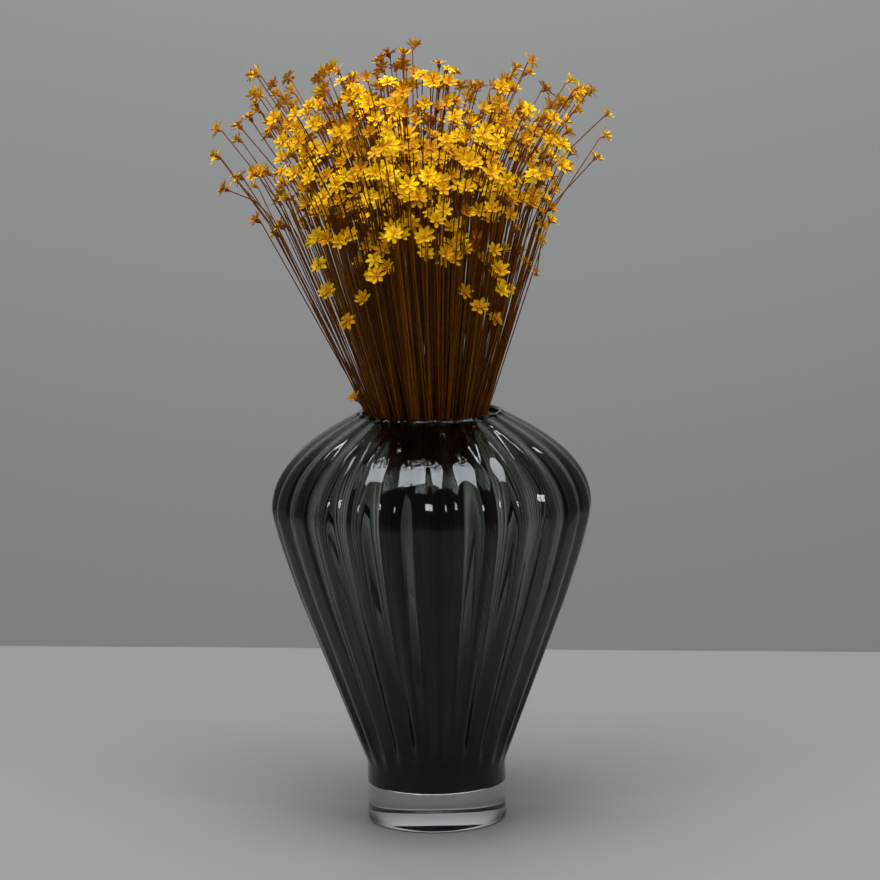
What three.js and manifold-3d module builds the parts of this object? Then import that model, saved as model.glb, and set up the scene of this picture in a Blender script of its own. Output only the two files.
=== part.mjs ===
// Dried glixia in a ribbed vase: a heavy blown vase of smoked glass on a clear glass foot, and a bunch of
// dried star flowers that stands on the floor of its cavity and fans out over the rim.
// Millimetres, +Z up. The origin is the centre of the foot's underside, and the photograph looks along +Y.
import * as THREE from "three";
import { mergeVertices } from "three/addons/utils/BufferGeometryUtils.js";
import Module from "manifold-3d";

const wasm = await Module();
wasm.setup();

// Vase
const vaseHeight = 240;
const footRadius = 40.4;
const footHeight = 23;
const footRounding = 1.4;
const collarTop = 34; // below it the smoked glass is plain
const coneTop = new THREE.Vector2(77, 130); // radius and height where the straight cone ends
const coneRows = [0.12, 0.5, 1]; // shares of the cone's height
const coneHandle = new THREE.Vector2(0.8, 2); // from the cone's top into the belly's curve
const bellyRadius = 92.7;
const bellyHeight = 185;
const bellyHandles = [10, 30]; // below the belly and above it
const rimHandle = new THREE.Vector2(56, 231.5); // the shoulder heads for the rim from here
const rimRadius = 42.6;
const mouthRadius = 39.2;
const lip = 1.2; // rounding of the rim
const wall = 4.6; // across the glass, from a ridge to the cavity
const cavityFloor = 38;
const floorRadius = 24; // of the flat part of the cavity's floor
const floorEdge = 0.88; // share of the cavity's lowest radius from which the floor curves up
const ribs = 24;
const ribTurn = 3; // degrees from +X to the first ridge
const ribDepth = 2.2; // from ridge to groove at the belly
const cavitySides = 24;
const footSides = 36;

// Bunch
const sprays = 56;
const flowersPerSpray = 13;
const seed = 3;
const columnRadius = 22; // of the bunch on the cavity's floor
const partingHeight = 226; // the stalks part into single stems here, just below the rim
const partingRadius = 31;
const partingShift = -1.6; // the bunch leans on the mouth's left side
const leanSlope = -0.04; // further lean to the left for each millimetre above the parting
const fanSlope = 0.264; // outward run of an outer stem for each millimetre above the parting
const fanFlare = 0.16; // the stems of the highest heads run further out by this
const flareRise = 190; // above the parting, where they do so in full
const flarePower = 5; // the higher, the fewer of them
const bentFrom = 6; // a stem that runs out by more than this has a bend
const bendShare = 0.76; // of its rise
const fanReach = 0.94; // share of the fan that the outermost stalk takes
const fanPower = 0.4; // under a half, the stalks stand closer together on the outside
const cellReach = 0.81; // how much of its own cell in the fan a spray fills
const innermost = 0.3; // of a spray's stems, as a share of its cell
const cellJitter = 0.12;
const domeTop = 449; // the heads stand in a dome, and fewest of them at its top and its lowest
const domeDrop = 34; // from the crown of the bunch to its shoulder
const domeTilt = 8; // the bunch faces forwards, with its back higher and its front lower by this
const depthInside = 112; // how far below the dome the lowest heads lie, in the middle of the bunch
const depthAdded = 14; // and how much further down on its outside
const depthPower = 1.25; // over one, the more of them near the dome
const depthTilt = 0.12; // share by which that depth is greater in front and less at the back

// A stalk, its stems and their heads
const seatGap = 0.3;
const stalkRadius = 2.4;
const crownRise = 0.3; // of the point between the stems where they part
const stemRadius = 0.52; // of its three corners, below the head
const headDepth = 2.8; // from a stem's end to the heart of its star
const heartShare = 0.45; // of the head's radius
// Open and half-open heads are stars of petals and a closed one is a cup. A head is of the first kind
// whose share is over its draw, and lift is the petals' rise in degrees.
const headKinds = [
  { share: 0.14, petals: 5, radius: [4.8, 6], lift: [5, 28] },
  { share: 0.5, petals: 3, radius: [4.2, 5.3], lift: [20, 45] },
  { share: 1, petals: 0, radius: [2.7, 3.6], lift: [50, 60] },
];
const turnOutAt = 110; // from the bunch's middle, a head is turned out by half a right angle
const turnForward = 0.32; // and every head somewhat to the front
const headWander = 0.4;
const passingGap = 1.45; // between a head's tips and the middle of a stem beside it
const headGap = 0.35;
const stemGap = 1.65; // between the middles of two stems
const besideWithin = 8; // stems that start this close are side by side
const settlingRounds = 400;
const settlingShare = 0.35;
const leastLevel = 0.4; // a stem gives way to a head low beside it as if that stood this far up the stem

// Stems that stray from the fan, each by its bends and the centre of its head
const strays = [
  { bends: [[-91, 4, 355], [-99, 4, 362.5]], head: [-115, 2, 369.5] },
  { bends: [[-87, -9, 352]], head: [-108.5, -10, 376] },
  { bends: [[-71, 5, 362]], head: [-106, 4, 405] },
  { bends: [[-70, -8, 364]], head: [-99, -11, 410] },
  { bends: [[-69, 18, 366]], head: [-97, 20, 417] },
  { bends: [[64, 1, 349]], head: [97, 0, 384] },
  { bends: [[69, 12, 353]], head: [81, 12, 379] },
  { bends: [[72, -6, 380]], head: [103, -8, 409] },
  { bends: [[56, 0, 330], [61, 0, 340], [65, -1, 335]], head: [62.5, 0, 319] },
  { bends: [[-33, -18.5, 239]], head: [-42, -25, 251] },
];

const smokedGlass = new THREE.MeshStandardMaterial({
  color: 0x2a302d,
  roughness: 0.08,
  metalness: 0,
  transparent: true,
  opacity: 0.8,
});
const clearGlass = new THREE.MeshStandardMaterial({
  color: 0xdfe8e6,
  roughness: 0.05,
  metalness: 0,
  transparent: true,
  opacity: 0.4,
});
const driedFlower = new THREE.MeshStandardMaterial({ color: 0xc8900f, roughness: 0.85, metalness: 0 });

const goldenShare = (Math.sqrt(5) - 1) / 2;
const goldenAngle = 2 * Math.PI * (1 - goldenShare);
const mix = THREE.MathUtils.lerp;

function solidFrom(geometry) {
  const bare = new THREE.BufferGeometry().setAttribute("position", geometry.getAttribute("position"));
  bare.setIndex(geometry.index);
  const merged = mergeVertices(bare, 1e-4);
  return new wasm.Manifold(
    new wasm.Mesh({
      numProp: 3,
      vertProperties: merged.attributes.position.array,
      triVerts: new Uint32Array(merged.index.array),
    }),
  );
}

function namedMesh(name, material, places, faces) {
  const geometry = new THREE.BufferGeometry();
  geometry.setAttribute("position", new THREE.Float32BufferAttribute(places, 3));
  geometry.setIndex(faces);
  geometry.computeVertexNormals();
  const mesh = new THREE.Mesh(geometry, material);
  mesh.name = name;
  return mesh;
}

// The vase's outline over its ridges, from the collar to the rim: a straight cone, then a round shoulder
function vaseOutline() {
  const outline = new THREE.Path();
  outline.moveTo(footRadius, collarTop);
  for (const share of coneRows) {
    outline.lineTo(mix(footRadius, coneTop.x, share), mix(collarTop, coneTop.y, share));
  }
  const coneEnd = coneTop.clone().add(coneHandle);
  const [below, above] = bellyHandles;
  outline.bezierCurveTo(...coneEnd, bellyRadius, bellyHeight - below, bellyRadius, bellyHeight);
  outline.bezierCurveTo(bellyRadius, bellyHeight + above, ...rimHandle, rimRadius, vaseHeight - lip);
  return outline.getPoints(4);
}

// The ribs rise out of the collar, are deepest at the belly and fade again towards the rim
function grooveDepth(height) {
  const share = THREE.MathUtils.clamp((height - collarTop) / (vaseHeight - collarTop), 0, 1);
  return ribDepth * (1 - (2 * share - 1) ** 4);
}

function vaseBody() {
  const outline = vaseOutline();
  const shell = new THREE.LatheGeometry(
    [
      new THREE.Vector2(0, footHeight),
      new THREE.Vector2(footRadius, footHeight),
      ...outline,
      new THREE.Vector2(rimRadius - lip, vaseHeight),
      new THREE.Vector2(0, vaseHeight),
    ],
    2 * ribs,
  );
  // LatheGeometry turns its outline around Y, one column of points for each ridge and each groove
  const spots = shell.getAttribute("position");
  for (let i = 0; i < spots.count; i++) {
    const height = spots.getY(i);
    const radius = Math.hypot(spots.getX(i), spots.getZ(i));
    const column = Math.round((Math.atan2(spots.getX(i), spots.getZ(i)) / Math.PI) * ribs);
    if (column % 2 === 0 || radius < mouthRadius) continue;
    const share = 1 - grooveDepth(height) / radius;
    spots.setXYZ(i, spots.getX(i) * share, height, spots.getZ(i) * share);
  }
  const inner = outline
    .map((spot, i) => {
      const along = outline[Math.min(i + 1, outline.length - 1)].clone().sub(outline[Math.max(i - 1, 0)]);
      return spot.clone().add(new THREE.Vector2(-along.y, along.x).setLength(wall));
    })
    .filter((spot) => spot.x > mouthRadius && spot.y > cavityFloor + wall);
  const cavity = new THREE.LatheGeometry(
    [
      new THREE.Vector2(0, cavityFloor),
      new THREE.Vector2(floorRadius, cavityFloor),
      new THREE.Vector2(inner[0].x * floorEdge, cavityFloor + wall / 2),
      ...inner,
      new THREE.Vector2(mouthRadius, vaseHeight - 2 * lip),
      new THREE.Vector2(mouthRadius + lip, vaseHeight + lip),
      new THREE.Vector2(0, vaseHeight + lip),
    ],
    cavitySides,
  );
  for (const geometry of [shell, cavity]) {
    geometry.rotateX(Math.PI / 2);
    geometry.rotateZ(THREE.MathUtils.degToRad(ribTurn));
  }
  const { numProp, vertProperties, triVerts } = solidFrom(shell).subtract(solidFrom(cavity)).getMesh();
  if (numProp !== 3) throw new Error("the vase's points hold more than their place");
  return namedMesh("vase_body", smokedGlass, [...vertProperties], [...triVerts]);
}

function vaseFoot() {
  const outline = [
    [0, 0],
    [footRadius - footRounding, 0],
    [footRadius, footRounding],
    [footRadius, footHeight - footRounding / 2],
    [footRadius - footRounding / 2, footHeight],
    [0, footHeight],
  ].map(([radius, height]) => new THREE.Vector2(radius, height));
  const disc = new THREE.LatheGeometry(outline, footSides);
  disc.rotateX(Math.PI / 2);
  const { vertProperties, triVerts } = solidFrom(disc).getMesh();
  return namedMesh("vase_foot", clearGlass, [...vertProperties], [...triVerts]);
}

// Seeded random numbers from 0 to 1
function randomFrom(state) {
  return () => {
    state = (state + 0x6d2b79f5) | 0;
    let t = Math.imul(state ^ (state >>> 15), 1 | state);
    t = (t + Math.imul(t ^ (t >>> 7), 61 | t)) ^ t;
    return ((t ^ (t >>> 14)) >>> 0) / 4294967296;
  };
}

// Each stalk has a place in the fan by the sunflower's rule, and its stems take the cell round that place.
// How high a head stands is drawn twice and averaged, and is less on the outside. The stems of the outermost
// high heads follow the fan for most of their way and then bend outwards.
function laidOutSprays() {
  const random = randomFrom(seed);
  return Array.from({ length: sprays }, (_, i) => {
    const reach = fanReach * ((i + 0.5) / sprays) ** fanPower;
    const place = new THREE.Vector2(reach, 0).rotateAround(new THREE.Vector2(), i * goldenAngle);
    const turn = random() * 2 * Math.PI;
    const parting = new THREE.Vector3(partingRadius * place.x, partingRadius * place.y, partingHeight);
    parting.x += partingShift;
    const foot = new THREE.Vector3(columnRadius * place.x, columnRadius * place.y, cavityFloor + seatGap);
    const stems = Array.from({ length: flowersPerSpray }, (_, k) => {
      const angle = turn + (k * 2 * Math.PI) / flowersPerSpray;
      const share = mix(innermost, 1, (k * goldenShare) % 1) + cellJitter * (random() - 0.5);
      const offset = new THREE.Vector2(Math.cos(angle), Math.sin(angle));
      const spot = offset.clone().multiplyScalar((cellReach / Math.sqrt(sprays)) * share).add(place);
      const far = Math.min(spot.length(), 1);
      const top = domeTop - domeDrop * far ** 3 + domeTilt * spot.y;
      const deepest = (depthInside + depthAdded * far ** 3) * (1 - depthTilt * spot.y);
      const height = top - deepest * mix(random(), random(), 0.5) ** depthPower;
      const rise = height - partingHeight;
      const flare = rise * fanFlare * Math.min(rise / flareRise, 1) ** flarePower;
      const inFan = (up, added) => {
        const out = spot.clone().multiplyScalar(partingRadius + fanSlope * up + added);
        return new THREE.Vector3(partingShift + leanSlope * up + out.x, out.y, partingHeight + up);
      };
      const start = offset.multiplyScalar((stalkRadius * 2) / 3);
      const drawn = random();
      const kind = headKinds.find((other) => drawn < other.share);
      return {
        start: parting.clone().add(new THREE.Vector3(start.x, start.y, 0)),
        head: inFan(rise, flare),
        petals: kind.petals,
        radius: mix(...kind.radius, random()),
        wander: new THREE.Vector3(random() - 0.5, random() - 0.5, 0).multiplyScalar(2 * headWander),
        lift: THREE.MathUtils.degToRad(mix(...kind.lift, random())),
        turn: random() * 2 * Math.PI,
        bends: flare * far > bentFrom ? [inFan(bendShare * rise, 0)] : [],
        strays: false,
      };
    });
    return { parting, foot, turn, stems };
  });
}

// The nearest stem that grows past a stray's first bend becomes that stray
function placeStrays(stems) {
  for (const stray of strays) {
    const bends = stray.bends.map((bend) => new THREE.Vector3(...bend));
    const missed = (stem) => {
      const share = (bends[0].z - stem.start.z) / (stem.head.z - stem.start.z);
      if (share > 1 || stem.strays) return Infinity;
      return stem.start.clone().lerp(stem.head, share).distanceTo(bends[0]);
    };
    const stem = stems.reduce((best, other) => (missed(other) < missed(best) ? other : best));
    stem.strays = true;
    stem.bends = bends;
    stem.head = new THREE.Vector3(...stray.head);
  }
}

// A head looks along its stem, turned somewhat to the outside of the bunch and to the front
function facingOf(stem) {
  const along = stem.head.clone().sub(stem.bends.at(-1) ?? stem.start).normalize();
  if (stem.strays) return along;
  const outward = new THREE.Vector3(stem.head.x - partingShift, stem.head.y, 0).divideScalar(turnOutAt);
  outward.y -= turnForward;
  return along.add(outward).add(stem.wander).normalize();
}

function stemEnd(stem) {
  return stem.head.clone().addScaledVector(facingOf(stem), -headDepth);
}

// Heads are pushed sideways until they clear each other and the stems that pass them, and until stems that
// start side by side no longer cross on their way up
function settle(stems) {
  const beside = new THREE.Vector3();
  const away = new THREE.Vector2();
  for (let round = 0; round < settlingRounds; round++) {
    const pushes = stems.map(() => new THREE.Vector2());
    const tips = stems.map((stem) => stem.bends[0] ?? stemEnd(stem));
    stems.forEach((other, j) => {
      const line = new THREE.Line3(other.start, tips[j]);
      const lines = other.bends.length ? [line, new THREE.Line3(tips[j], stemEnd(other))] : [line];
      stems.forEach((stem, i) => {
        if (i === j) return;
        for (const part of lines) {
          part.closestPointToPoint(stem.head, true, beside);
          const lack = stem.radius + passingGap - beside.distanceTo(stem.head);
          if (lack <= 0) continue;
          const level = (beside.z - other.start.z) / (other.head.z - other.start.z);
          away.set(stem.head.x - beside.x, stem.head.y - beside.y).setLength(settlingShare * lack);
          pushes[i].add(away);
          pushes[j].addScaledVector(away, -1 / Math.max(level, leastLevel));
        }
        const overlap = stem.radius + other.radius + headGap - other.head.distanceTo(stem.head);
        if (overlap > 0) {
          away.set(stem.head.x - other.head.x, stem.head.y - other.head.y).setLength(settlingShare * overlap);
          pushes[i].add(away);
        }
        if (tips[i].z > tips[j].z || stem.start.distanceTo(other.start) > besideWithin) return;
        const level = (tips[i].z - stem.start.z) / (tips[j].z - other.start.z);
        line.at(level, beside);
        away.set(stem.start.x - other.start.x, stem.start.y - other.start.y).normalize();
        const crossed = stemGap - away.x * (tips[i].x - beside.x) - away.y * (tips[i].y - beside.y);
        if (crossed > 0) {
          away.multiplyScalar(settlingShare * crossed);
          pushes[i].add(away);
          pushes[j].addScaledVector(away, -1 / Math.max(level, leastLevel));
        }
      });
    });
    stems.forEach((stem, i) => {
      if (stem.strays) return;
      const push = new THREE.Vector3(pushes[i].x, pushes[i].y, 0);
      stem.head.add(push);
      for (const bend of stem.bends) bend.addScaledVector(push, bendShare);
    });
  }
}

// One closed piece, built up from rings of points
class Shell {
  places = [];
  faces = [];

  ring(points) {
    const first = this.places.length / 3;
    for (const point of points) this.places.push(...point.toArray());
    return points.map((_, i) => first + i);
  }

  // Between two rings of as many points, both counter-clockwise when seen from the upper one's far side
  wall(lower, upper) {
    lower.forEach((a, i) => {
      const next = (i + 1) % lower.length;
      this.faces.push(a, lower[next], upper[next], a, upper[next], upper[i]);
    });
  }

  lid(ring) {
    for (let i = 1; i + 1 < ring.length; i++) this.faces.push(ring[0], ring[i], ring[i + 1]);
  }
}

// An open head widens from its stem's end as a cone of bracts, which ends in a shallow star
function addStar(shell, stemEnd, stem, facing) {
  const across = new THREE.Vector3(0, 1, 0).cross(facing).normalize();
  const along = facing.clone().cross(across);
  const spot = (angle, radius, rise) =>
    stem.head
      .clone()
      .addScaledVector(across, radius * Math.cos(angle))
      .addScaledVector(along, radius * Math.sin(angle))
      .addScaledVector(facing, rise);
  const angles = Array.from({ length: 2 * stem.petals }, (_, i) => stem.turn + (i * Math.PI) / stem.petals);
  const star = shell.ring(
    angles.map((angle, i) =>
      i % 2
        ? spot(angle, stem.radius * Math.cos(stem.lift), stem.radius * Math.sin(stem.lift))
        : spot(angle, stem.radius * heartShare, 0),
    ),
  );
  shell.lid(star.filter((_, i) => i % 2 === 0));
  for (let i = 0; i < star.length; i += 2) {
    shell.faces.push(star[i], star[i + 1], star[(i + 2) % star.length]);
  }
  // The back of the star runs down to the stem's three corners
  const corners = stemEnd.map((i) => new THREE.Vector3().fromArray(shell.places, 3 * i).sub(stem.head));
  const nearest = (angle) => {
    const direction = spot(angle, 1, 0).sub(stem.head);
    const shares = corners.map((corner) => corner.dot(direction));
    return shares.indexOf(Math.max(...shares));
  };
  let corner = nearest(angles[0]);
  for (let i = 0; i < star.length; i++) {
    const next = (i + 1) % star.length;
    shell.faces.push(stemEnd[corner], star[next], star[i]);
    for (const target = nearest(angles[next]); corner !== target; corner = (corner + 1) % stemEnd.length)
      shell.faces.push(stemEnd[corner], stemEnd[(corner + 1) % stemEnd.length], star[next]);
  }
}

// A stem runs from its three corners on the stalk through its bends to its head, and is thinner than they are
function addStem(shell, corners, stem) {
  const outline = corners.map((i) => new THREE.Vector3().fromArray(shell.places, 3 * i));
  const middle = outline[0].clone().add(outline[1]).add(outline[2]).divideScalar(3);
  let heading = new THREE.Plane().setFromCoplanarPoints(...outline).normal;
  for (const spot of outline) spot.sub(middle).setLength(stemRadius);
  const facing = facingOf(stem);
  const route = [stem.start, ...stem.bends, stemEnd(stem)];
  let last = corners;
  for (let i = 1; i < route.length; i++) {
    const before = route[i].clone().sub(route[i - 1]).normalize();
    const after = route[i + 1]?.clone().sub(route[i]).normalize();
    const ahead = after ? before.add(after).normalize() : facing;
    const turn = new THREE.Quaternion().setFromUnitVectors(heading, ahead);
    const next = shell.ring(outline.map((spot) => spot.applyQuaternion(turn).clone().add(route[i])));
    shell.wall(last, next);
    heading = ahead;
    last = next;
  }
  if (stem.petals) {
    addStar(shell, last, stem, facing);
    return;
  }
  const rise = stem.radius * Math.sin(stem.lift);
  const rim = stem.head.clone().addScaledVector(facing, rise);
  const cup = shell.ring(outline.map((spot) => spot.setLength(stem.radius).add(rim)));
  shell.wall(last, cup);
  shell.lid(cup);
}

// A spray is one stalk on a pointed foot, which parts into stems. Each stem grows from a triangle between two
// corners of the stalk's edge and its middle.
function sprayMesh(spray, name) {
  const shell = new Shell();
  const [foot] = shell.ring([spray.foot]);
  const edge = shell.ring(
    spray.stems.map((_, k) => {
      const angle = spray.turn + ((k - 0.5) * 2 * Math.PI) / flowersPerSpray;
      const corner = new THREE.Vector3(Math.cos(angle), Math.sin(angle), 0);
      return corner.multiplyScalar(stalkRadius).add(spray.parting);
    }),
  );
  const [crown] = shell.ring([spray.parting.clone().add(new THREE.Vector3(0, 0, crownRise))]);
  spray.stems.forEach((stem, k) => {
    const next = (k + 1) % spray.stems.length;
    shell.faces.push(foot, edge[next], edge[k]);
    addStem(shell, [edge[k], edge[next], crown], stem);
  });
  return namedMesh(name, driedFlower, shell.places, shell.faces);
}

const bunch = new THREE.Group();
const laidOut = laidOutSprays();
const allStems = laidOut.flatMap((spray) => spray.stems);
placeStrays(allStems);
settle(allStems);
laidOut.forEach((spray, i) => bunch.add(sprayMesh(spray, `spray_${String(i + 1).padStart(2, "0")}`)));

const group = new THREE.Group();
group.add(vaseFoot(), vaseBody(), bunch);

export default group;
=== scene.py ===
import math
import random
import bmesh
import bpy
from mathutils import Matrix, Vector


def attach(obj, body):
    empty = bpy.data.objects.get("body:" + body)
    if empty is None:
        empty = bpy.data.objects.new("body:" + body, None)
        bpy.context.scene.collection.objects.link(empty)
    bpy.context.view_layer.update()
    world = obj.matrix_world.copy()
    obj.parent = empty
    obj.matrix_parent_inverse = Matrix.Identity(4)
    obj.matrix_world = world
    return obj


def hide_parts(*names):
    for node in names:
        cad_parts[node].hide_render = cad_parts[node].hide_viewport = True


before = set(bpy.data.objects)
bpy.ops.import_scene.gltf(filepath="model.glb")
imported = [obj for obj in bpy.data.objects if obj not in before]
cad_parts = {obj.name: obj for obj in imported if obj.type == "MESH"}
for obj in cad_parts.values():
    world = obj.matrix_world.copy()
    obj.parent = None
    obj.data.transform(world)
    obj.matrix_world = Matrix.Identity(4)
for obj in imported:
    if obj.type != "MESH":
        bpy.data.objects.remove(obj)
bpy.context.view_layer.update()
bpy.ops.object.select_all(action="DESELECT")
scene = bpy.context.scene

# The camera stands about 1.8 m in front of the vase, a little above the bunch, and looks down on it by some
# eight degrees through a long lens. The photograph leans by one degree.
CAMERA_PLACE = (0.0053, -1.79, 0.485)
LOOKING_DOWN = 8.34
LEANING = -1.0
bpy.ops.object.camera_add(location=CAMERA_PLACE, rotation=(math.radians(90 - LOOKING_DOWN), 0, 0))
camera = bpy.context.object
camera.name = "camera"
camera.rotation_euler.rotate_axis("Z", math.radians(LEANING))
camera.data.lens = 128.1
camera.data.sensor_width = 36
camera.data.clip_end = 30
scene.camera = camera

# The vase stands on a plain pale table top whose far edge shows behind it, before a plain grey wall. The
# table is smooth enough to mirror the vase a little.
TABLE_TOP = -0.0002
TABLE_MIDDLE = -1.012
TABLE_WIDTH = 6
TABLE_DEPTH = 2.93
TABLE_TURN = -6.6
bpy.ops.mesh.primitive_plane_add(size=1, location=(0, TABLE_MIDDLE, TABLE_TOP))
table = bpy.context.object
table.name = "table_top"
table.scale = (TABLE_WIDTH, TABLE_DEPTH, 1)
table.rotation_euler.z = math.radians(TABLE_TURN)
bpy.ops.object.transform_apply(location=True, rotation=True, scale=True)
pale = bpy.data.materials.new("pale_table_top")
pale.use_nodes = True
skin = pale.node_tree.nodes["Principled BSDF"]
skin.inputs["Base Color"].default_value = (0.2, 0.198, 0.195, 1)
skin.inputs["Roughness"].default_value = 0.55
skin.inputs["Specular IOR Level"].default_value = 0.35
table.data.materials.append(pale)

WALL_BEHIND = 2.4
bpy.ops.mesh.primitive_plane_add(size=1, location=(0, WALL_BEHIND, 1.0), rotation=(math.radians(90), 0, 0))
wall = bpy.context.object
wall.name = "studio_wall"
wall.scale = (9, 6, 1)
bpy.ops.object.transform_apply(location=True, rotation=True, scale=True)
grey = bpy.data.materials.new("grey_wall")
grey.use_nodes = True
skin = grey.node_tree.nodes["Principled BSDF"]
skin.inputs["Base Color"].default_value = (0.34, 0.34, 0.336, 1)
skin.inputs["Roughness"].default_value = 0.9
wall.data.materials.append(grey)


# Soft studio light: one large soft box over the table, which the ribs mirror as long bright streaks, two
# smaller ones in front to the left and right, the light that a pale ceiling sends back, light on the wall,
# and a dim room.
def lamp(name, place, aim, size, power, colour):
    bpy.ops.object.light_add(type="AREA", location=place)
    light = bpy.context.object
    light.name = name
    light.rotation_euler = (Vector(aim) - Vector(place)).to_track_quat("-Z", "Y").to_euler()
    light.data.shape = "RECTANGLE"
    light.data.size, light.data.size_y = size
    light.data.energy = power
    light.data.color = colour
    return light


BLUISH = (0.93, 0.97, 1)
WARM = (1, 0.98, 0.95)
PALE = (0.97, 0.98, 1)
WHITE = (1, 1, 1)
lamp("soft_box_above", (-0.05, -0.36, 1.72), (0, -0.1, 0.2), (1.25, 0.8), 39, BLUISH)
left_box = lamp("soft_box_left", (-2.2, -2.0, 1.55), (0, 0, 0.35), (0.5, 0.5), 15, WARM)
right_box = lamp("soft_box_right", (2.2, -2.0, 1.55), (0, 0, 0.35), (0.5, 0.5), 15, WARM)
ceiling = lamp("pale_ceiling", (0, -0.3, 2.4), (0, -0.3, 0), (3.2, 3.2), 24, PALE)
for light in (left_box, right_box, ceiling):
    light.visible_transmission = False
ceiling.visible_glossy = False
lamp("wall_wash", (0, 1.2, 2.6), (0, WALL_BEHIND, 1.35), (3.5, 0.5), 60, WHITE)
room = bpy.data.worlds.new("dim_room")
scene.world = room
room.use_nodes = True
room.node_tree.nodes["Background"].inputs["Color"].default_value = (0.9, 0.95, 1, 1)
room.node_tree.nodes["Background"].inputs["Strength"].default_value = 0.12
scene.view_settings.view_transform = "Standard"
scene.cycles.max_bounces = 16
scene.cycles.transmission_bounces = 14
scene.cycles.use_denoising = True

# The foot is a thick disc of clear glass with rounded edges and a slightly hollow underside, which stands
# on its rim and mirrors the dark glass above. It is melted to the smoked vase.
FOOT_RADIUS = 0.0404
FOOT_HEIGHT = 0.023
FOOT_ROUNDING = 0.0014
FOOT_TOP_EDGE = 0.0005
HOLLOW_RADIUS = 0.0335
HOLLOW_DEPTH = 0.0024
HOLLOW_STEPS = 12
ROUNDING_STEPS = 5
FOOT_COLUMNS = 128


def turned(name, profile, steps):
    """A body turned round the vertical axis from its outline of radii and heights."""
    mesh = bpy.data.meshes.new(name)
    mesh.from_pydata([(x, 0, z) for x, z in profile], [(i, i + 1) for i in range(len(profile) - 1)], [])
    body = bpy.data.objects.new(name, mesh)
    scene.collection.objects.link(body)
    bpy.context.view_layer.objects.active = body
    body.select_set(True)
    bpy.ops.object.mode_set(mode="EDIT")
    bpy.ops.mesh.select_all(action="SELECT")
    bpy.ops.mesh.spin(steps=steps, angle=math.tau, center=(0, 0, 0), axis=(0, 0, 1))
    bpy.ops.mesh.select_all(action="SELECT")
    bpy.ops.mesh.remove_doubles(threshold=1e-6)
    bpy.ops.mesh.normals_make_consistent(inside=False)
    bpy.ops.object.mode_set(mode="OBJECT")
    return body


hollow = [
    (HOLLOW_RADIUS * i / HOLLOW_STEPS, HOLLOW_DEPTH * (1 - (i / HOLLOW_STEPS) ** 2))
    for i in range(HOLLOW_STEPS + 1)
]
lower_edge = [
    (FOOT_RADIUS - FOOT_ROUNDING * (1 - math.sin(turn)), FOOT_ROUNDING * (1 - math.cos(turn)))
    for turn in [math.pi / 2 * i / ROUNDING_STEPS for i in range(ROUNDING_STEPS + 1)]
]
upper_edge = [
    (FOOT_RADIUS, FOOT_HEIGHT - FOOT_TOP_EDGE),
    (FOOT_RADIUS - FOOT_TOP_EDGE, FOOT_HEIGHT),
    (0, FOOT_HEIGHT),
]
foot = turned("clear_glass_foot", hollow + lower_edge + upper_edge, FOOT_COLUMNS)
bpy.ops.object.shade_smooth_by_angle(angle=math.radians(40))
bpy.ops.object.select_all(action="DESELECT")


def glass(name, tint, roughness):
    """Glass with a faintly uneven, fire-polished skin."""
    material = bpy.data.materials.new(name)
    material.use_nodes = True
    nodes, links = material.node_tree.nodes, material.node_tree.links
    shader = nodes["Principled BSDF"]
    shader.inputs["Base Color"].default_value = (*tint, 1)
    shader.inputs["Roughness"].default_value = roughness
    shader.inputs["IOR"].default_value = 1.5
    shader.inputs["Transmission Weight"].default_value = 1
    place = nodes.new("ShaderNodeTexCoord")
    ripple = nodes.new("ShaderNodeTexNoise")
    ripple.inputs["Scale"].default_value = 45
    ripple.inputs["Detail"].default_value = 2
    bump = nodes.new("ShaderNodeBump")
    bump.inputs["Strength"].default_value = 0.12
    bump.inputs["Distance"].default_value = 0.0004
    links.new(place.outputs["Object"], ripple.inputs["Vector"])
    links.new(ripple.outputs["Fac"], bump.inputs["Height"])
    links.new(bump.outputs["Normal"], shader.inputs["Normal"])
    return material


clear = glass("clear_glass", (0.97, 0.99, 0.985), 0.01)
tinge = clear.node_tree.nodes.new("ShaderNodeVolumeAbsorption")
tinge.inputs["Color"].default_value = (0.80, 0.83, 0.84, 1)
tinge.inputs["Density"].default_value = 12
clear.node_tree.links.new(tinge.outputs["Volume"], clear.node_tree.nodes["Material Output"].inputs["Volume"])
foot.data.materials.append(clear)
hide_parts("vase_foot")
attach(foot, "root")

# The vase is blown from smoked grey-green glass into a ribbed mould: a plain collar, a straight cone with
# 24 rounded ribs, a full shoulder and a narrow mouth with a fire-rounded lip. Its wall is thick, and its
# floor is a little above the foot.
COLLAR_TOP = 0.034
COLLAR_MIDDLE = 0.030
CONE_TOP = (0.077, 0.130)
CONE_HANDLE = (0.0778, 0.132)
VASE_TOP = 0.240
RIM_RADIUS = 0.0426
MOUTH_RADIUS = 0.0392
BELLY_RADIUS = 0.0927
BELLY_HEIGHT = 0.185
BELLY_HANDLE_BELOW = 0.010
BELLY_HANDLE_ABOVE = 0.030
RIM_HANDLE = (0.056, 0.2315)
CONE_STEPS = 24
BELLY_STEPS = 20
SHOULDER_STEPS = 24
WALL = 0.0046
CAVITY_FLOOR = 0.038
LIP = 0.0012
RIBS = 24
RIB_TURN = math.radians(3)
RIB_DEPTH = 0.0038
COLUMNS_PER_RIB = 8


def bezier(a, b, c, d, steps):
    for i in range(1, steps + 1):
        t = i / steps
        s = 1 - t
        shares = (s**3, 3 * s * s * t, 3 * s * t * t, t**3)
        yield tuple(sum(share * part for share, part in zip(shares, parts)) for parts in zip(a, b, c, d))


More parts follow.
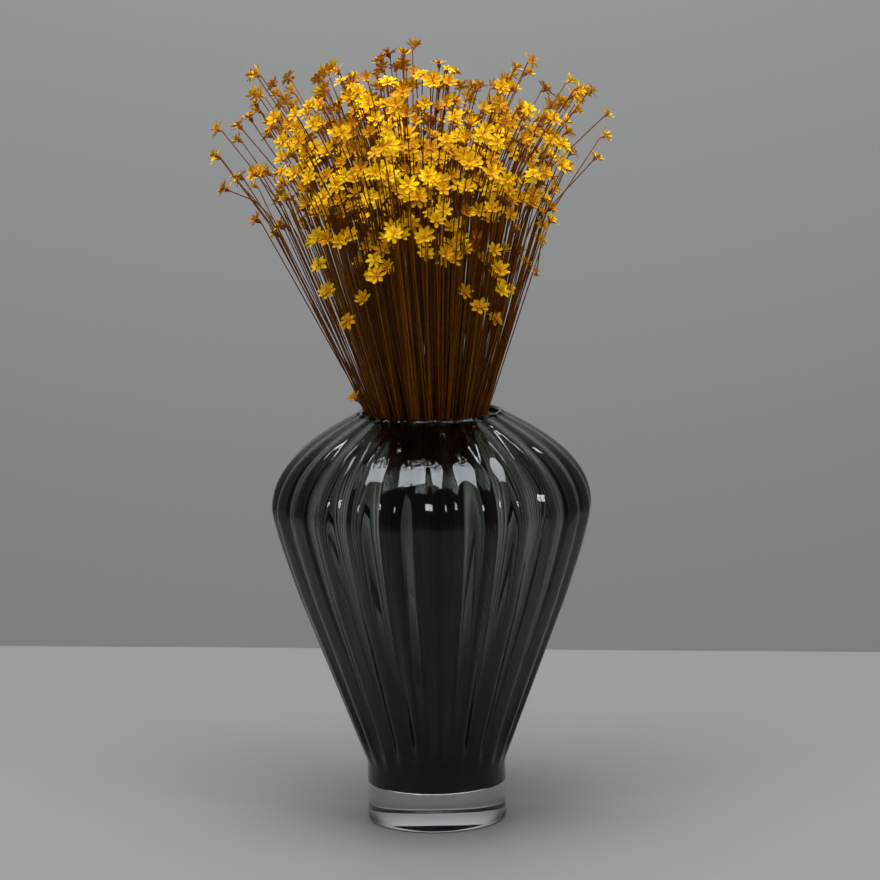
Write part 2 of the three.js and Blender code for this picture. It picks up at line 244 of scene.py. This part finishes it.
outer = [(FOOT_RADIUS, FOOT_HEIGHT), (FOOT_RADIUS, COLLAR_MIDDLE), (FOOT_RADIUS, COLLAR_TOP)]
for i in range(1, CONE_STEPS + 1):
    share = i / CONE_STEPS
    radius = FOOT_RADIUS + (CONE_TOP[0] - FOOT_RADIUS) * share
    outer.append((radius, COLLAR_TOP + (CONE_TOP[1] - COLLAR_TOP) * share))
belly = (BELLY_RADIUS, BELLY_HEIGHT)
below_belly = (BELLY_RADIUS, BELLY_HEIGHT - BELLY_HANDLE_BELOW)
above_belly = (BELLY_RADIUS, BELLY_HEIGHT + BELLY_HANDLE_ABOVE)
outer += bezier(CONE_TOP, CONE_HANDLE, below_belly, belly, BELLY_STEPS)
outer += bezier(belly, above_belly, RIM_HANDLE, (RIM_RADIUS, VASE_TOP - LIP), SHOULDER_STEPS)

# The cavity follows the outside at the wall's thickness, and the mouth's straight part keeps its own radius
SHOULDER_HEIGHT = 0.2
NECK_DEPTH = 0.006
inner = []
for i in range(3, len(outer), 2):
    (x0, z0), (x1, z1) = outer[i - 1], outer[min(i + 1, len(outer) - 1)]
    reach = math.hypot(x1 - x0, z1 - z0)
    x, z = outer[i][0] - (z1 - z0) / reach * WALL, outer[i][1] + (x1 - x0) / reach * WALL
    if x > MOUTH_RADIUS - NECK_DEPTH and CAVITY_FLOOR + WALL * 0.8 < z < VASE_TOP - NECK_DEPTH:
        inner.append((max(x, MOUTH_RADIUS) if z > SHOULDER_HEIGHT else x, z))
lip = [
    (RIM_RADIUS - 0.3 * LIP, VASE_TOP - 0.3 * LIP),
    (RIM_RADIUS - LIP, VASE_TOP),
    (MOUTH_RADIUS + LIP, VASE_TOP),
    (MOUTH_RADIUS + 0.3 * LIP, VASE_TOP - 0.3 * LIP),
    (MOUTH_RADIUS, VASE_TOP - LIP),
    (MOUTH_RADIUS, VASE_TOP - 0.004),
]
floor_radius = inner[0][0]
floor_curve = [(floor_radius * 0.97, CAVITY_FLOOR + 0.0022), (floor_radius * 0.88, CAVITY_FLOOR + 0.0006)]
floor_curve += [(0.024, CAVITY_FLOOR), (0, CAVITY_FLOOR)]
profile = [(0, FOOT_HEIGHT)] + outer + lip + inner[::-1] + floor_curve
vase = turned("smoked_glass_vase", profile, RIBS * COLUMNS_PER_RIB)

# The ribs swell out of the collar and grow shallow again towards the rim
SWELLING = 0.1
FADING = 0.35
LEAST_AT_RIM = 0.4
for vertex in vase.data.vertices:
    x, y, z = vertex.co
    radius = math.hypot(x, y)
    outside = min(math.hypot(radius - r, z - h) for r, h in outer + lip[:1]) < 1e-5
    if not outside or z <= COLLAR_TOP:
        continue
    share = (z - COLLAR_TOP) / (VASE_TOP - COLLAR_TOP)
    from_ridge = (math.atan2(y, x) - RIB_TURN) * RIBS / math.tau
    wave = 0.5 - 0.5 * math.cos(math.tau * from_ridge)
    depth = RIB_DEPTH * min(1, share / SWELLING) * min(1, LEAST_AT_RIM + (1 - share) / FADING) * wave
    vertex.co.x, vertex.co.y = x * (1 - depth / radius), y * (1 - depth / radius)
vase.data.polygons.foreach_set("use_smooth", [True] * len(vase.data.polygons))
bpy.ops.object.shade_smooth_by_angle(angle=math.radians(50))

# The smoke in the glass is densest in the collar, and thins out up to the belly
smoked = glass("smoked_glass", (1, 1, 1), 0.01)
nodes, links = smoked.node_tree.nodes, smoked.node_tree.links
shader = nodes["Principled BSDF"]
shader.inputs["Specular Tint"].default_value = (0.55, 0.56, 0.57, 1)
soot = nodes.new("ShaderNodeVolumeAbsorption")
soot.inputs["Color"].default_value = (0.20, 0.26, 0.17, 1)
soot.inputs["Density"].default_value = 345
links.new(soot.outputs["Volume"], nodes["Material Output"].inputs["Volume"])
place = nodes.new("ShaderNodeTexCoord")
split = nodes.new("ShaderNodeSeparateXYZ")
smoke = nodes.new("ShaderNodeMapRange")
smoke.inputs["From Min"].default_value = COLLAR_TOP
smoke.inputs["From Max"].default_value = BELLY_HEIGHT
smoke.inputs["To Min"].default_value = 0.05
smoke.inputs["To Max"].default_value = 1.0
links.new(place.outputs["Object"], split.inputs["Vector"])
links.new(split.outputs["Z"], smoke.inputs["Value"])
links.new(smoke.outputs["Result"], shader.inputs["Base Color"])
vase.data.materials.append(smoked)
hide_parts("vase_body")
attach(vase, "root")
bpy.ops.object.select_all(action="DESELECT")

# A dried flower head: seven or eight narrow pointed bracts, a ring of shorter ones inside, a small heart,
# and the brown cone of the calyx below, which sits on its stem. It is made once, with bracts of length one,
# and each head of the bunch is a bent copy.
BRACT, STEM, HEART = 0, 1, 2
INNER_BRACTS = 6
INNER_TURN = 0.4
HEART_SIDES = 6
ACROSS = 2.2


def ringed(radius, height, sides):
    turns = [i * math.tau / sides for i in range(sides)]
    return [Vector((radius * math.cos(turn), radius * math.sin(turn), height)) for turn in turns]


def laid_out(turn, rows):
    """The points of a bract whose rows give the run from the heart, the way to the side and the rise."""
    ahead = Vector((math.cos(turn), math.sin(turn), 0))
    aside = Vector((-math.sin(turn), math.cos(turn), 0))
    points = [ahead * run + aside * side + Vector((0, 0, rise)) for run, side, rise in rows]
    return points, [(run, 0.5 + ACROSS * side) for run, side, _ in rows]


def outer_bract(turn):
    """A strap with a low midrib that narrows to its base and to its tip."""
    rows = [(0.14, -0.07, 0), (0.14, 0.07, 0), (0.6, -0.23, 0), (0.58, 0, -0.05), (0.6, 0.23, 0)]
    rows += [(0.88, -0.14, 0), (0.88, 0.14, 0), (1, 0, 0)]
    faces = [(0, 1, 3), (0, 3, 2), (1, 4, 3), (2, 3, 5), (3, 6, 5), (3, 4, 6), (5, 6, 7)]
    points, uv = laid_out(turn, rows)
    return points, faces, uv


def inner_bract(turn):
    """A shorter bract above the others, widest in its middle."""
    rows = [(0.1, -0.06, 0.06), (0.1, 0.06, 0.06), (0.42, 0.17, 0.06), (0.42, -0.17, 0.06), (0.7, 0, 0.06)]
    points, uv = laid_out(turn, rows)
    return points, [(0, 1, 2, 3), (3, 2, 4)], uv


def flower_head(bracts):
    """Points, faces, each face's finish, and each point's place on its bract and its bract's number."""
    points, faces, finish, uv, owner = [], [], [], [], []

    def take(new_points, new_faces, new_uv, kind, number):
        first = len(points)
        points.extend(new_points)
        faces.extend(tuple(first + i for i in face) for face in new_faces)
        finish.extend([kind] * len(new_faces))
        uv.extend(new_uv)
        owner.extend([number] * len(new_points))

    for i in range(bracts):
        take(*outer_bract(i * math.tau / bracts), BRACT, i)
    for i in range(INNER_BRACTS):
        take(*inner_bract((i + INNER_TURN) * math.tau / INNER_BRACTS), BRACT, bracts + i)
    sides = HEART_SIDES
    heart = ringed(0.16, 0.05, sides) + [Vector((0, 0, 0.15))]
    take(heart, [(i, (i + 1) % sides, sides) for i in range(sides)], [(0.1, 0.5)] * len(heart), HEART, -1)
    cone = ringed(0.09, -1, sides) + ringed(0.26, -0.2, sides) + ringed(0.2, 0, sides)
    walls = []
    for low in (0, sides):
        for i in range(sides):
            j = (i + 1) % sides
            walls.append((low + i, low + j, low + sides + j, low + sides + i))
    take(cone, walls, [(0, 0.5)] * len(cone), HEART, -1)
    return points, faces, finish, uv, owner


# The bunch: 56 sprays of dried stems, each stem hair-thin, stiff and slightly wavy, with one flower head on
# its end. They stand loose on the vase's floor, and each spray of the model tells where its stems and heads
# are.
SPRAYS = 56
PARTING = 0.2275
WELDING = 5e-5
HEAD_DEPTH = 0.0028
STEM_RADIUS = 0.0004
STEM_SIDES = 5
STEM_RINGS = 7
STEM_BOW = 0.0011
GATHERING = 0.8
FEW_BRACTS = 7
MANY_BRACTS = 8
HALF_SHUT_REACH = 0.0056
WIDE_STAR = 5
draw = random.Random(5)
shapes = {MANY_BRACTS: flower_head(MANY_BRACTS), FEW_BRACTS: flower_head(FEW_BRACTS)}


def stems_of(node):
    """The spray's foot, and each stem: the middles of its rings from the parting up, and its head's tips."""
    mesh = bmesh.new()
    mesh.from_mesh(node.data)
    bmesh.ops.remove_doubles(mesh, verts=mesh.verts, dist=WELDING)
    stalk = {v for v in mesh.verts if v.co.z < PARTING}
    seen = set(stalk)
    stems = []
    for first in mesh.verts:
        if first in seen:
            continue
        whole = {first}
        todo = [first]
        while todo:
            vertex = todo.pop()
            for edge in vertex.link_edges:
                other = edge.other_vert(vertex)
                if other not in stalk and other not in whole:
                    whole.add(other)
                    todo.append(other)
        seen |= whole
        rings = [{e.other_vert(v) for v in whole for e in v.link_edges} & stalk]
        passed = set(stalk)
        while True:
            ahead = {e.other_vert(v) for v in rings[-1] for e in v.link_edges} & whole - passed
            if not ahead:
                break
            rings.append(ahead)
            passed |= ahead
        places = [[v.co.copy() for v in sorted(r, key=lambda v: tuple(v.co))] for r in rings]
        route = [sum(p, Vector()) / len(p) for p in places[:-1]]
        stems.append((route, places[-1]))
    apex = min(mesh.verts, key=lambda v: v.co.z).co.copy()
    mesh.free()
    return apex, stems


def spot_along(points, lengths, run):
    """The place on a line of points after a run of this length."""
    for i, length in enumerate(lengths):
        if run <= length or i == len(lengths) - 1:
            return points[i].lerp(points[i + 1], min(run / length, 1))
        run -= length


def smooth_route(points, rings):
    """A stem's line with evenly spaced rings, bowed a little to one side."""
    lengths = [(b - a).length for a, b in zip(points, points[1:])]
    whole = sum(lengths)
    bow = Vector((draw.gauss(0, 1), draw.gauss(0, 1), 0)) * STEM_BOW
    wave = draw.uniform(0.8, 1.6)
    start = draw.uniform(0, math.tau)
    knots = {0.0, 1.0} | {i / rings for i in range(rings)}
    reach = 0
    for length in lengths[:-1]:
        reach += length
        knots.add(reach / whole)
    line = []
    for knot in sorted(knots):
        sway = math.sin(math.pi * knot) * math.sin(start + wave * math.tau * knot)
        line.append(spot_along(points, lengths, knot * whole) + bow * sway)
    return line


def add_stem(spray, line, tone):
    """A round stem along its line, closed below and thinner towards its head."""
    rings = []
    for i, spot in enumerate(line):
        ahead = (line[min(i + 1, len(line) - 1)] - line[max(i - 1, 0)]).normalized()
        aside = ahead.cross(Vector((0, 1, 0.1))).normalized()
        across = ahead.cross(aside)
        radius = STEM_RADIUS * (1.05 - 0.2 * i / len(line))
        rings.append(len(spray["points"]))
        for k in range(STEM_SIDES):
            turn = k * math.tau / STEM_SIDES
            spray["points"].append(spot + (aside * math.cos(turn) + across * math.sin(turn)) * radius)
            spray["uv"].append((i / len(line), k / STEM_SIDES))
            spray["tones"].append(tone)
    for a, b in zip(rings, rings[1:]):
        for k in range(STEM_SIDES):
            j = (k + 1) % STEM_SIDES
            spray["faces"].append((a + k, a + j, b + j, b + k))
    spray["faces"].append(tuple(rings[0] + k for k in reversed(range(STEM_SIDES))))
    spray["finish"].extend([STEM] * ((len(rings) - 1) * STEM_SIDES + 1))


def head_stance(end, tips):
    """A head's middle, the way it faces, the way of its first bract, its reach, its lift and its bracts."""
    centre = sum(tips, Vector()) / len(tips)
    count = len(tips) // 2
    if count == 1:
        facing = (centre - end).normalized()
        reach = HALF_SHUT_REACH * draw.uniform(0.85, 1.12)
        lift = math.radians(draw.uniform(5, 40))
        return end + facing * HEAD_DEPTH, facing, tips[0] - centre, reach, lift, FEW_BRACTS
    by_distance = sorted(tips, key=lambda t: (t - end).length)
    middle = sum(by_distance[:count], Vector()) / count
    facing = (middle - end).normalized()
    lead = by_distance[-1] - middle
    reach = lead.length * (1.12 if count == WIDE_STAR else 1.28)
    lift = 0.6 * math.asin(max(-1, min(1, lead.normalized().dot(facing)))) - 0.03
    bracts = MANY_BRACTS if count == WIDE_STAR or draw.random() < 0.5 else FEW_BRACTS
    return middle, facing, lead, reach, lift, bracts


def add_head(spray, end, tips):
    """A flower head whose bracts each have their own lift and share one curl and one tone."""
    middle, facing, lead, reach, lift, bracts = head_stance(end, tips)
    across = (lead - facing * lead.dot(facing)).normalized()
    along = facing.cross(across)
    lifts = [lift + draw.gauss(0, 0.12) for _ in range(bracts)]
    lifts += [lift + draw.gauss(0.5, 0.15) for _ in range(INNER_BRACTS)]
    curl = draw.gauss(0, 0.3)
    tone = min(1, max(0, draw.gauss(0.55, 0.28)))
    shape_points, shape_faces, shape_finish, shape_uv, owners = shapes[bracts]
    first = len(spray["points"])
    for spot, owner in zip(shape_points, owners):
        out = math.hypot(spot.x, spot.y)
        flat = across * spot.x + along * spot.y
        if owner >= 0:
            angle = lifts[owner] + curl * (out - 0.4)
            place = (flat * math.cos(angle) + facing * (spot.z + out * math.sin(angle))) * reach
        elif spot.z < 0:
            place = flat * reach + facing * spot.z * HEAD_DEPTH
        else:
            place = (flat + facing * spot.z) * reach
        spray["points"].append(middle + place)
        spray["tones"].append(tone)
    spray["uv"].extend(shape_uv)
    spray["faces"].extend(tuple(first + k for k in face) for face in shape_faces)
    spray["finish"].extend(shape_finish)


def make_spray(name, node, materials):
    spray = {"points": [], "faces": [], "finish": [], "tones": [], "uv": []}
    apex, stems = stems_of(node)
    middle = sum((route[0] for route, _ in stems), Vector()) / len(stems)
    for route, tips in stems:
        tone = draw.random()
        on_floor = apex + (route[0] - middle) * GATHERING
        on_floor.z = apex.z
        add_stem(spray, smooth_route([on_floor] + route, STEM_RINGS), tone)
        add_head(spray, route[-1], tips)
    mesh = bpy.data.meshes.new(name)
    mesh.from_pydata([tuple(p) for p in spray["points"]], [], spray["faces"])
    mesh.polygons.foreach_set("material_index", spray["finish"])
    tone_of = mesh.attributes.new("tone", "FLOAT", "POINT")
    tone_of.data.foreach_set("value", spray["tones"])
    layer = mesh.uv_layers.new(name="bract_run")
    for loop in mesh.loops:
        layer.data[loop.index].uv = spray["uv"][loop.vertex_index]
    for material in materials:
        mesh.materials.append(material)
    piece = bpy.data.objects.new(name, mesh)
    scene.collection.objects.link(piece)
    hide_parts(node.name)
    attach(piece, "root")
    return piece


def dried(name, colours, roughness, gloss):
    """A dry papery finish whose colour runs over these colours with the tone of each stem or head."""
    material = bpy.data.materials.new(name)
    material.use_nodes = True
    nodes, links = material.node_tree.nodes, material.node_tree.links
    shader = nodes["Principled BSDF"]
    shader.inputs["Roughness"].default_value = roughness
    shader.inputs["Specular IOR Level"].default_value = gloss
    tone = nodes.new("ShaderNodeAttribute")
    tone.attribute_name = "tone"
    ramp = nodes.new("ShaderNodeValToRGB")
    ramp.color_ramp.elements[0].color = (*colours[0], 1)
    ramp.color_ramp.elements[1].color = (*colours[-1], 1)
    for i, colour in enumerate(colours[1:-1], 1):
        ramp.color_ramp.elements.new(i / (len(colours) - 1)).color = (*colour, 1)
    links.new(tone.outputs["Fac"], ramp.inputs["Fac"])
    place = nodes.new("ShaderNodeTexCoord")
    mottle = nodes.new("ShaderNodeTexNoise")
    mottle.inputs["Scale"].default_value = 260
    mottle.inputs["Detail"].default_value = 3
    links.new(place.outputs["Object"], mottle.inputs["Vector"])
    spread = nodes.new("ShaderNodeMapRange")
    spread.inputs["From Min"].default_value = 0.35
    spread.inputs["From Max"].default_value = 0.65
    spread.inputs["To Min"].default_value = 0.45
    spread.inputs["To Max"].default_value = 1.25
    shade = nodes.new("ShaderNodeMix")
    shade.data_type = "RGBA"
    shade.blend_type = "MULTIPLY"
    shade.inputs["Factor"].default_value = 0.55
    links.new(mottle.outputs["Fac"], spread.inputs["Value"])
    links.new(ramp.outputs["Color"], shade.inputs["A"])
    links.new(spread.outputs["Result"], shade.inputs["B"])
    links.new(shade.outputs["Result"], shader.inputs["Base Color"])
    return material


golds = [(0.42, 0.17, 0.001), (0.66, 0.36, 0.001), (0.86, 0.57, 0.002)]
browns = [(0.10, 0.027, 0.001), (0.17, 0.052, 0.001), (0.26, 0.09, 0.002)]
rusts = [(0.22, 0.06, 0.001), (0.36, 0.11, 0.002), (0.5, 0.18, 0.003)]
gold = dried("dried_bracts", golds, 0.7, 0.08)
brown = dried("dried_stems", browns, 0.5, 0.1)
rust = dried("dried_hearts", rusts, 0.75, 0.5)

# Painted shade: inside the vase the stems' colour is mixed mostly towards near black, fading back to their
# own colour over the 2 cm below the rim. It stands in for the shade inside the smoked glass.
nodes, links = brown.node_tree.nodes, brown.node_tree.links
shader = nodes["Principled BSDF"]
bare = shader.inputs["Base Color"].links[0].from_socket
place = nodes.new("ShaderNodeTexCoord")
split = nodes.new("ShaderNodeSeparateXYZ")
painted_shade_fade = nodes.new("ShaderNodeMapRange")
painted_shade_fade.inputs["From Min"].default_value = VASE_TOP - 0.02
painted_shade_fade.inputs["From Max"].default_value = VASE_TOP
painted_shade_fade.inputs["To Min"].default_value = 0.2
painted_shade_fade.inputs["To Max"].default_value = 1
painted_shade_in_vase = nodes.new("ShaderNodeMix")
painted_shade_in_vase.data_type = "RGBA"
# The near-black colour of the painted shade on the stems inside the vase
painted_shade_in_vase.inputs["A"].default_value = (0.004, 0.002, 0.001, 1)
links.new(place.outputs["Object"], split.inputs["Vector"])
links.new(split.outputs["Z"], painted_shade_fade.inputs["Value"])
links.new(painted_shade_fade.outputs["Result"], painted_shade_in_vase.inputs["Factor"])
links.new(bare, painted_shade_in_vase.inputs["B"])
links.new(painted_shade_in_vase.outputs["Result"], shader.inputs["Base Color"])

# The bracts are rust-orange at their base and finely veined along their length
nodes, links = gold.node_tree.nodes, gold.node_tree.links
shader = nodes["Principled BSDF"]
bare = shader.inputs["Base Color"].links[0].from_socket
run = nodes.new("ShaderNodeUVMap")
run.uv_map = "bract_run"
split = nodes.new("ShaderNodeSeparateXYZ")
links.new(run.outputs["UV"], split.inputs["Vector"])
near_base = nodes.new("ShaderNodeMapRange")
near_base.inputs["From Min"].default_value = 0.12
near_base.inputs["From Max"].default_value = 0.5
near_base.inputs["To Min"].default_value = 0.75
near_base.inputs["To Max"].default_value = 0
links.new(split.outputs["X"], near_base.inputs["Value"])
deeper = nodes.new("ShaderNodeMix")
deeper.data_type = "RGBA"
deeper.inputs["B"].default_value = (0.62, 0.2, 0.001, 1)
links.new(near_base.outputs["Result"], deeper.inputs["Factor"])
links.new(bare, deeper.inputs["A"])
veins = nodes.new("ShaderNodeTexWave")
veins.bands_direction = "Y"
veins.inputs["Scale"].default_value = 1.6
veins.inputs["Distortion"].default_value = 0.6
links.new(run.outputs["UV"], veins.inputs["Vector"])
vein_share = nodes.new("ShaderNodeMath")
vein_share.operation = "MULTIPLY"
vein_share.inputs[1].default_value = 0.3
links.new(veins.outputs["Fac"], vein_share.inputs[0])
veined = nodes.new("ShaderNodeMix")
veined.data_type = "RGBA"
veined.inputs["B"].default_value = (0.7, 0.3, 0.001, 1)
links.new(vein_share.outputs["Value"], veined.inputs["Factor"])
links.new(deeper.outputs["Result"], veined.inputs["A"])
links.new(veined.outputs["Result"], shader.inputs["Base Color"])

for i in range(1, SPRAYS + 1):
    make_spray(f"dried_spray_{i:02d}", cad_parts[f"spray_{i:02d}"], (gold, brown, rust))
